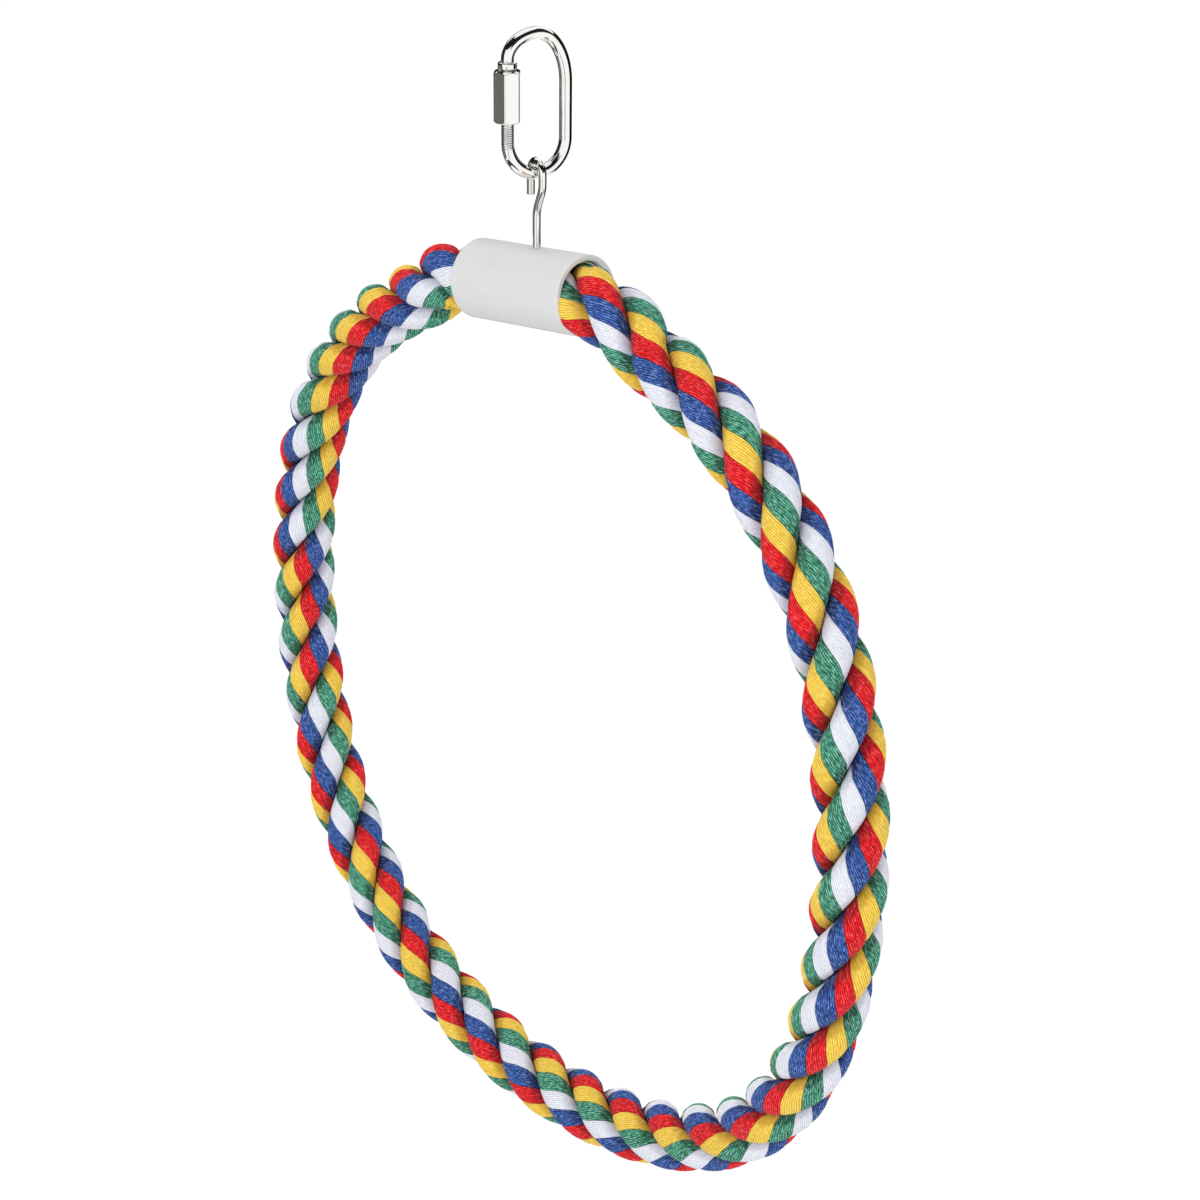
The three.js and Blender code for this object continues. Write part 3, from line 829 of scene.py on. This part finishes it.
def with_rims(path, radius, rim):
    """Rings of a wire whose two cut ends have a small rounded rim."""
    rings = wire_rings(path, radius)
    ends = []
    for here, beyond in ((0, 1), (-1, -2)):
        outward = unit(path[here] - path[beyond])
        middle = path[here]
        spokes = rings[here] - middle
        for share in np.linspace(0, 1, RIM_STEPS + 1)[1:]:
            inset = rim * (1 - math.sqrt(1 - share * share))
            shrunk = spokes * (1 - inset / np.linalg.norm(spokes, axis=1, keepdims=True))
            ends.append(middle + outward * rim * (share - 1) + shrunk)
        rings[here] = middle - outward * rim + spokes
    start, end = ends[:RIM_STEPS][::-1], ends[RIM_STEPS:]
    return np.concatenate([start, rings, end])


hook = add_piece("wire_hook", "perch", with_rims(hook_path, HOOK_WIRE / 2, WIRE_RIM))
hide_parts("hanger_hook")
paint(hook, hook_steel)
print("hook", len(hook.data.polygons), "faces")

# %% [markdown]
# ## The quick link
# The link is one rod, bent to an oval with a gap in one leg. A collar above the gap stops the nut, and both
# sides of the gap have a rolled thread. A rolled thread stands no higher than the rod it was rolled into,
# so it is a shallow helical groove in the radius. The rings lie close together there, and far apart
# elsewhere.

# %% Path of the link
LINK_TURN = 90 - HOOK_TURN
LEG = (LINK_WIDTH - LINK_ROD) / 2
COLLAR_EDGE = 0.5
COLLAR_STEP = 0.05  # the rod steps up to its collar within this height
THREAD_STEP = 0.6
THREAD_BEND = 15  # degrees of the lower bend that the thread may reach
THREAD_RINGS = 10  # in one step of the thread
COLLAR_RINGS = 8

stub_rings = round(STUB_LENGTH / THREAD_STEP * THREAD_RINGS)
leg_rings = round((LEG_END - LEG_BOTTOM) / THREAD_STEP * THREAD_RINGS)
run_out_rings = round(LOWER_BEND * math.radians(THREAD_BEND) / THREAD_STEP * THREAD_RINGS)
rim_turn = np.linspace(0, math.pi / 2, COLLAR_RINGS)
rim_inset = COLLAR_EDGE * (1 - np.sin(rim_turn))
rim_rise = COLLAR_EDGE * (1 - np.cos(rim_turn))
link_path = joined(
    line((-LEG, STUB_END), (-LEG, COLLAR_BOTTOM - COLLAR_STEP), stub_rings),
    np.stack([np.full(COLLAR_RINGS, -LEG), COLLAR_BOTTOM + rim_rise], -1),
    np.stack([np.full(COLLAR_RINGS, -LEG), COLLAR_TOP - rim_rise[::-1]], -1),
    line((-LEG, COLLAR_TOP + COLLAR_STEP), (-LEG, LEG_TOP), 3),
    arc(0, LEG_TOP, LEG, LINK_BEND, 180, 90, 30),
    arc(0, PLAIN_TOP, LEG, PLAIN_BEND, 90, 0, 40),
    line((LEG, PLAIN_TOP), (LEG, LEG_BOTTOM), 10),
    arc(0, LEG_BOTTOM, LEG, LOWER_BEND, 0, THREAD_BEND - 180, 60),
    arc(0, LEG_BOTTOM, LEG, LOWER_BEND, THREAD_BEND - 180, -180, run_out_rings),
    line((-LEG, LEG_BOTTOM), (-LEG, LEG_END), leg_rings),
)
print("points along the link", len(link_path))

# %% Collar, thread and rod
COLLAR_RADIUS = 2.6
THREAD_DEPTH = 0.1
THREAD_FADE = 0.8
THREAD_RUN_OUT = 2  # the lower thread ends this far down the bend
LEG_SHARE = 0.95  # points this far out count as the leg

rod_radius = np.full((len(link_path), WIRE_SIDES), LINK_ROD / 2)
height = link_path[:, 1]
on_leg = link_path[:, 0] < -LEG_SHARE * LEG
in_collar = on_leg & (height >= COLLAR_BOTTOM - TOUCHING) & (height <= COLLAR_TOP + TOUCHING)
rod_radius[in_collar] = (COLLAR_RADIUS - np.concatenate([rim_inset, rim_inset[::-1]]))[:, None]
lower_thread = (LEG_BOTTOM - THREAD_RUN_OUT, LEG_END)
stub_thread = (STUB_END, COLLAR_BOTTOM - 2 * COLLAR_STEP)
for low, high in (lower_thread, stub_thread):
    cut = on_leg & (height >= low) & (height <= high)
    ends = np.minimum(height - low, high - height)[cut, None]
    helix = height[cut, None] / THREAD_STEP + np.arange(WIRE_SIDES) / WIRE_SIDES
    groove = THREAD_DEPTH * (0.5 - 0.5 * np.cos(TURN * helix))
    rod_radius[cut] -= groove * smooth(ends / THREAD_FADE)
rod = add_piece(
    "quick_link", "link", with_rims(upright(link_path, LINK_TURN), rod_radius, WIRE_RIM), sharp=50
)
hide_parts("link_rod")
paint(rod, link_steel)
print("link", len(rod.data.polygons), "faces")

# %% [markdown]
# ## The nut
# The nut is a long hexagon with its corners broken and its ends turned off at an angle, which leaves the
# curved chamfers that every hexagon nut has. Those curves needn't be drawn: the outline at each height is
# the smaller of a rounded hexagon and the turned cone, and they appear by themselves.

# %% Outline of the nut
NUT_FLATS = 7
NUT_SIDES = 6
NUT_TURN = 55
NUT_CORNER_EASE = 0.12
NUT_POINTS = 240

nut_corner = NUT_FLATS / math.sqrt(3)
nut_angle = np.arange(NUT_POINTS) / NUT_POINTS * TURN
from_flat = (nut_angle + math.pi / NUT_SIDES) % (TURN / NUT_SIDES) - math.pi / NUT_SIDES
hexagon = np.minimum(NUT_FLATS / 2 / np.cos(from_flat), nut_corner - NUT_CORNER_EASE)


def nut_ring(radius, height):
    """Points at one height of the nut. The flats come between corners at the nut's own turn."""
    angle = nut_angle + math.radians(NUT_TURN) + math.pi / NUT_SIDES
    radius = np.broadcast_to(radius, nut_angle.shape)
    across = -LEG + radius * np.cos(angle)
    aside = radius * np.sin(angle)
    turn = math.radians(LINK_TURN)
    x = across * math.cos(turn) - aside * math.sin(turn)
    y = across * math.sin(turn) + aside * math.cos(turn)
    return np.stack([x, y, np.full_like(x, height)], -1)


print("nut over its corners", round(2 * hexagon.max(), 2))

# %% Nut
NUT_TURNED = 0.7  # height of the turned cone at each end, which slopes at 45 degrees
TURNED_RINGS = 8
NUT_BORE = 2.05
BORE_CHAMFER = 0.3

nut_low = NUT_TOP - NUT_LENGTH
cone = np.linspace(0, NUT_TURNED, TURNED_RINGS)
outlines = [np.minimum(hexagon, nut_corner - inset) for inset in cone]
lower_end = [nut_ring(outline, nut_low + NUT_TURNED - inset) for outline, inset in zip(outlines, cone)]
upper_end = [nut_ring(outline, NUT_TOP - NUT_TURNED + inset) for outline, inset in zip(outlines, cone)]
nut_rings = [
    nut_ring(NUT_BORE + BORE_CHAMFER, nut_low),
    *lower_end[::-1],
    *upper_end,
    nut_ring(NUT_BORE + BORE_CHAMFER, NUT_TOP),
    nut_ring(NUT_BORE, NUT_TOP - BORE_CHAMFER),
    nut_ring(NUT_BORE, nut_low + BORE_CHAMFER),
]
nut = add_piece("hexagon_nut", "nut", np.array(nut_rings), closed=True, sharp=25)
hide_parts("link_nut")
paint(nut, link_steel)
print("nut", len(nut.data.polygons), "faces")

# %% [markdown]
# ## The plastic sleeve
# The sleeve is a length of extruded polyethylene tube, cut off and lightly tumbled, so its rims are round.
# Polyethylene is waxy: pale, satin, and a little light goes into it. A lathe profile gives the tube, and a
# Boolean modifier drills the hole where the hook goes in.

# %% Profile of the sleeve
SLEEVE_WALL = 1.75
SLEEVE_RIM = 0.45
SLEEVE_SIDES = 160

bore_radius = SLEEVE_BORE / 2
sleeve_radius = bore_radius + SLEEVE_WALL
half_sleeve = SLEEVE_LENGTH / 2
sleeve_profile = np.concatenate(
    [
        line((bore_radius, 0), (bore_radius, half_sleeve - SLEEVE_RIM), 6),
        arc(bore_radius + SLEEVE_RIM, half_sleeve - SLEEVE_RIM, SLEEVE_RIM, SLEEVE_RIM, 165, 90, 6),
        arc(sleeve_radius - SLEEVE_RIM, half_sleeve - SLEEVE_RIM, SLEEVE_RIM, SLEEVE_RIM, 90, 0, 8),
        line((sleeve_radius, half_sleeve - 2 * SLEEVE_RIM), (sleeve_radius, SLEEVE_RIM), 12),
    ]
)
mirrored = sleeve_profile[::-1] * [1, -1]
sleeve_profile = np.concatenate([sleeve_profile, mirrored[:-1]])
print("sleeve's outer size", round(2 * sleeve_radius, 1))

# %% Sleeve and its hole
HOLE_PLAY = 0.05

sleeve_up = unit(np.array([-SLEEVE_AXIS[2], 0, SLEEVE_AXIS[0]]))
sleeve_turn = np.arange(SLEEVE_SIDES)[:, None] / SLEEVE_SIDES * TURN
spokes = np.cos(sleeve_turn) * sleeve_up + np.sin(sleeve_turn) * np.cross(SLEEVE_AXIS, sleeve_up)
sleeve_rings = (
    SLEEVE_MIDDLE
    + spokes[:, None] * sleeve_profile[None, :, :1]
    + SLEEVE_AXIS * sleeve_profile[None, :, 1:]
)
sleeve = add_piece("plastic_sleeve", "perch", lean(sleeve_rings), closed=True)

drill_path = np.array([[0, 0, EYE_HEIGHT], [0, 0, EYE_HEIGHT + 2 * sleeve_radius]])
drill = add_piece("drill", "perch", wire_rings(drill_path, HOOK_WIRE / 2 + HOLE_PLAY))
cut = sleeve.modifiers.new("hole", "BOOLEAN")
cut.object = drill
cut.solver = "EXACT"
drilled = sleeve.evaluated_get(bpy.context.evaluated_depsgraph_get())
sleeve.data = bpy.data.meshes.new_from_object(drilled)
sleeve.modifiers.clear()
sleeve.data.set_sharp_from_angle(angle=math.radians(SHARP_EDGE))
bpy.data.objects.remove(drill)
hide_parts("joint_sleeve")
print("sleeve", len(sleeve.data.polygons), "faces")

# %% [markdown]
# ## Waxy polyethylene
# What gives polyethylene away is its softness: shadows on it are pale, and its gloss is broad. Extruding
# leaves faint ripples and handling leaves a few dull scuffs.

# %% Plastic
PLASTIC_RIPPLE = 2.5
PLASTIC_GRAIN = 0.25
SCUFF = 6
POLYETHYLENE_IOR = 1.54


def waxy_polyethylene(name, colour, scuffed):
    material, tree, output = new_material(name)
    place = add(tree, "TexCoord", {}).outputs["Object"]
    ripples = add(tree, "TexNoise", {"Vector": place, "Scale": 1 / (PLASTIC_RIPPLE * MM), "Detail": 2})
    grain = add(tree, "TexNoise", {"Vector": place, "Scale": 1 / (PLASTIC_GRAIN * MM), "Detail": 2})
    scuffs = add(tree, "TexNoise", {"Vector": place, "Scale": 1 / (SCUFF * MM), "Detail": 5})
    worn = add(tree, "MapRange", {"Value": scuffs.outputs["Fac"], "From Min": 0.45, "From Max": 0.75})
    toned = add(
        tree,
        "MixRGB",
        {"Fac": worn.outputs[0], "Color1": linear(colour), "Color2": linear(scuffed)},
    )
    rough = add(tree, "MapRange", {"Value": worn.outputs[0], "To Min": 0.45, "To Max": 0.52})
    relief = add(tree, "Math", {0: ripples.outputs["Fac"], 1: grain.outputs["Fac"]}, operation="ADD")
    bump = add(tree, "Bump", {"Height": relief.outputs[0], "Strength": 0.15, "Distance": 0.02 * MM})
    shader = add(
        tree,
        "BsdfPrincipled",
        {
            "Base Color": toned.outputs[0],
            "Roughness": rough.outputs[0],
            "Normal": bump.outputs[0],
            "IOR": POLYETHYLENE_IOR,
            "Subsurface Weight": 0.25,
            "Subsurface Radius": (1.0, 0.95, 0.9),
            "Subsurface Scale": 1.2 * MM,
        },
    )
    tree.links.new(shader.outputs[0], output.inputs["Surface"])
    return material


paint(sleeve, waxy_polyethylene("extruded_polyethylene", "DADADA", "D6D6D6"))
print("sleeve painted")

# %% [markdown]
# ## What the sleeve hides
# Inside are the core wire that keeps the ring round, the ferrule that joins its ends, and the tape on the
# rope's cut ends. Nobody sees much of them, so they keep the frame's own shapes, and get their real finish:
# hot-dip zinc with its faint crystals, and woven cotton tape.

# %% Galvanised steel
SPANGLE = 1.5  # real crystals are wider than the wire; they are drawn smaller so that it shows some


def galvanised_steel(name, colour, crystal):
    material, tree, output = new_material(name)
    place = add(tree, "TexCoord", {}).outputs["Object"]
    spangles = add(tree, "TexVoronoi", {"Vector": place, "Scale": 1 / (SPANGLE * MM)})
    toned = add(
        tree,
        "MixRGB",
        {"Fac": spangles.outputs["Distance"], "Color1": linear(colour), "Color2": linear(crystal)},
    )
    rough = add(tree, "MapRange", {"Value": spangles.outputs["Distance"], "To Min": 0.3, "To Max": 0.5})
    shader = add(
        tree,
        "BsdfPrincipled",
        {"Base Color": toned.outputs[0], "Roughness": rough.outputs[0], "Metallic": 1},
    )
    tree.links.new(shader.outputs[0], output.inputs["Surface"])
    return material


zinc = galvanised_steel("hot_dip_zinc", "B9BCBE", "989C9F")
for node in ("core_wire", "crimp_ferrule"):
    paint(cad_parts[node], zinc)
print("zinc on", zinc.users, "pieces")

# %% Cotton tape
TAPE_THREAD = 0.5


def woven_tape(name, colour, shadow):
    material, tree, output = new_material(name)
    place = add(tree, "TexCoord", {}).outputs["Object"]
    scale = WAVE_PERIOD / (TAPE_THREAD * MM)
    weft = add(tree, "TexWave", {"Vector": place, "Scale": scale}, bands_direction="X")
    warp = add(tree, "TexWave", {"Vector": place, "Scale": scale}, bands_direction="Z")
    weave = add(tree, "Math", {0: weft.outputs["Fac"], 1: warp.outputs["Fac"]}, operation="MAXIMUM")
    toned = add(
        tree,
        "MixRGB",
        {"Fac": weave.outputs[0], "Color1": linear(shadow), "Color2": linear(colour)},
    )
    bump = add(tree, "Bump", {"Height": weave.outputs[0], "Strength": 0.5, "Distance": 0.1 * MM})
    shader = add(
        tree,
        "BsdfPrincipled",
        {"Base Color": toned.outputs[0], "Normal": bump.outputs[0], "Roughness": COTTON_ROUGHNESS},
    )
    tree.links.new(shader.outputs[0], output.inputs["Surface"])
    return material


tape = woven_tape("woven_cotton_tape", "E9E4D6", "B9B2A0")
for node in ("end_tape_left", "end_tape_right"):
    paint(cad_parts[node], tape)
print("tape on", tape.users, "pieces")

# %% [markdown]
# ## The studio
# The ring hangs over a pale floor in a white room. The floor and the world are white to the camera and to
# mirrors, and light everything else at a plain level, so that a colour looks as it was written. A floor
# that was lit until it turned white would burn out the white yarn long before.

# %% White room
ROOM_LIGHT = 0.81


def seen_directly(tree):
    """1 for rays from the camera, from mirrors and through glass, and 0 for the light between surfaces."""
    path = add(tree, "LightPath", {})
    seen = path.outputs["Is Camera Ray"]
    for name in ("Is Glossy Ray", "Is Transmission Ray"):
        seen = add(tree, "Math", {0: seen, 1: path.outputs[name]}, operation="MAXIMUM").outputs[0]
    return seen


scene = bpy.context.scene
scene.view_settings.view_transform = "Standard"
scene.world = bpy.data.worlds.new("white_room")
scene.world.use_nodes = True
room = scene.world.node_tree
room.nodes.clear()
room_level = add(room, "MapRange", {"Value": seen_directly(room), "To Min": ROOM_LIGHT, "To Max": 1})
room_light = add(room, "Background", {"Color": linear("FFFFFF"), "Strength": room_level.outputs[0]})
room_output = add(room, "OutputWorld", {})
room.links.new(room_light.outputs[0], room_output.inputs["Surface"])
print("room", scene.world.name, "with light", ROOM_LIGHT)

# %% Floor
FLOOR_HEIGHT = -1.3  # metres, as all of the studio
FLOOR_SIZE = 40
FLOOR_SHARE = 0.85  # how much of the floor's white is its own, and not light that a shadow can take
FLOOR_GLOW = 1.08

floor_mesh = bpy.data.meshes.new("floor")
corner = FLOOR_SIZE / 2
floor_corners = [(x, y, FLOOR_HEIGHT) for x, y in ((-1, -1), (1, -1), (1, 1), (-1, 1))]
floor_mesh.from_pydata([(x * corner, y * corner, z) for x, y, z in floor_corners], [], [(0, 1, 2, 3)])
floor = bpy.data.objects.new("floor", floor_mesh)
scene.collection.objects.link(floor)
floor_material, floor_tree, floor_output = new_material("pale_floor")
floor_seen = add(floor_tree, "MapRange", {"Value": seen_directly(floor_tree), "To Max": FLOOR_SHARE})
floor_paint = add(floor_tree, "BsdfDiffuse", {"Color": linear("F2F2F2")})
floor_white = add(floor_tree, "Emission", {"Color": linear("FFFFFF"), "Strength": FLOOR_GLOW})
floor_mix = add(
    floor_tree,
    "MixShader",
    {"Fac": floor_seen.outputs[0], 1: floor_paint.outputs[0], 2: floor_white.outputs[0]},
)
floor_tree.links.new(floor_mix.outputs[0], floor_output.inputs["Surface"])
floor_mesh.materials.append(floor_material)
floor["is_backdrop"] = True
print("floor", FLOOR_HEIGHT, "metres below the hang point")

# %% [markdown]
# ## Soft boxes
# Three large soft boxes light the rope: a key light high on the left of the camera, a low one on the right
# that opens the shadows from below, and one behind that keeps the far side as light as the near side. They
# are big and near, so the edges of the shadows between strands stay soft. Mirrors don't see them: the steel
# gets its white from the room.

# %% Lights
RING_MIDDLE = Vector((0, 0, RING_HEIGHT * MM))


def soft_box(name, azimuth, elevation, distance, size, watts):
    """A square area light that faces the ring. Azimuth 0 is in front, along -Y."""
    a, e = math.radians(azimuth), math.radians(elevation)
    away = Vector((math.sin(a) * math.cos(e), -math.cos(a) * math.cos(e), math.sin(e)))
    light = bpy.data.lights.new(name, "AREA")
    light.size = size
    light.energy = watts
    lamp = bpy.data.objects.new(name, light)
    lamp.location = RING_MIDDLE + away * distance
    lamp.rotation_euler = away.to_track_quat("Z", "Y").to_euler()
    lamp.visible_glossy = False
    scene.collection.objects.link(lamp)
    return lamp


key_light = soft_box("key_soft_box", 15, 33, 1.2, 1.0, 5.4)
fill_light = soft_box("fill_soft_box", 75, -18, 1.5, 1.2, 4.2)
back_light = soft_box("back_soft_box", 232, 15, 1.5, 1.2, 6)
print("lights", key_light.name, fill_light.name, back_light.name)

# %% [markdown]
# ## Dark cards
# Polished metal in a white room would vanish. Photographers stand dark cards just out of the picture, and
# the metal mirrors them as dark bands that draw its shape. These cards are patches of a large ball round
# the link. Only mirrors see them: they throw no shadow and take no light from the rope. A band on a rod moves
# towards the rod's edge as its card goes round behind, and gets thinner there.

# %% Cards
CARD_DISTANCE = 0.5
CARD_STEPS = 24
LINK_MIDDLE = np.array([0, 0, LINK_BOTTOM / 2 * MM])


def dark_card(name, start, end, low, high, grey):
    """A patch of a ball between two angles round Z, from +X to +Y, and two above the horizon."""
    around = np.radians(np.linspace(start, end, CARD_STEPS))[:, None]
    above = np.radians(np.linspace(low, high, CARD_STEPS))
    patch = [np.cos(around) * np.cos(above), np.sin(around) * np.cos(above), np.sin(above) + 0 * around]
    points = LINK_MIDDLE + CARD_DISTANCE * np.stack(patch, -1).reshape(-1, 3)
    corners = np.arange(CARD_STEPS * CARD_STEPS).reshape(CARD_STEPS, CARD_STEPS)
    faces = np.stack([corners[:-1, :-1], corners[1:, :-1], corners[1:, 1:], corners[:-1, 1:]], -1)
    mesh = bpy.data.meshes.new(name)
    mesh.from_pydata(points.tolist(), [], faces.reshape(-1, 4).tolist())
    card = bpy.data.objects.new(name, mesh)
    scene.collection.objects.link(card)
    material, tree, output = new_material(name)
    cloth = add(tree, "Emission", {"Color": linear(grey), "Strength": 1})
    tree.links.new(cloth.outputs[0], output.inputs["Surface"])
    mesh.materials.append(material)
    for ray in ("camera", "diffuse", "transmission", "volume_scatter", "shadow"):
        setattr(card, "visible_" + ray, False)
    card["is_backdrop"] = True
    return card


cards = [
    dark_card("card_left_edge", 141, 200, -45, 28, "202020"),
    dark_card("card_left_low", 203, 262, -42, -8, "6A6A68"),
    dark_card("card_left_high", 200, 256, -8, 28, "2A2A28"),
    dark_card("card_right", 36, 117, -45, 28, "141414"),
    dark_card("card_above", 200, 420, 28, 66, "1C1C1C"),
    dark_card("card_above_right", 325, 420, 14, 28, "303030"),
    dark_card("card_front", 307, 317, -40, -8, "5A5A58"),
    dark_card("card_below", 198, 342, -60, -46, "3A3A38"),
]
print("cards", [card.name for card in cards])

# %% [markdown]
# ## Sizes, and done
# The dressed ring has to stay as large as the frame, so the last line prints its box.

# %% Finish
low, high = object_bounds()
print("visual box", [round(x, 4) for x in low], [round(x, 4) for x in high])
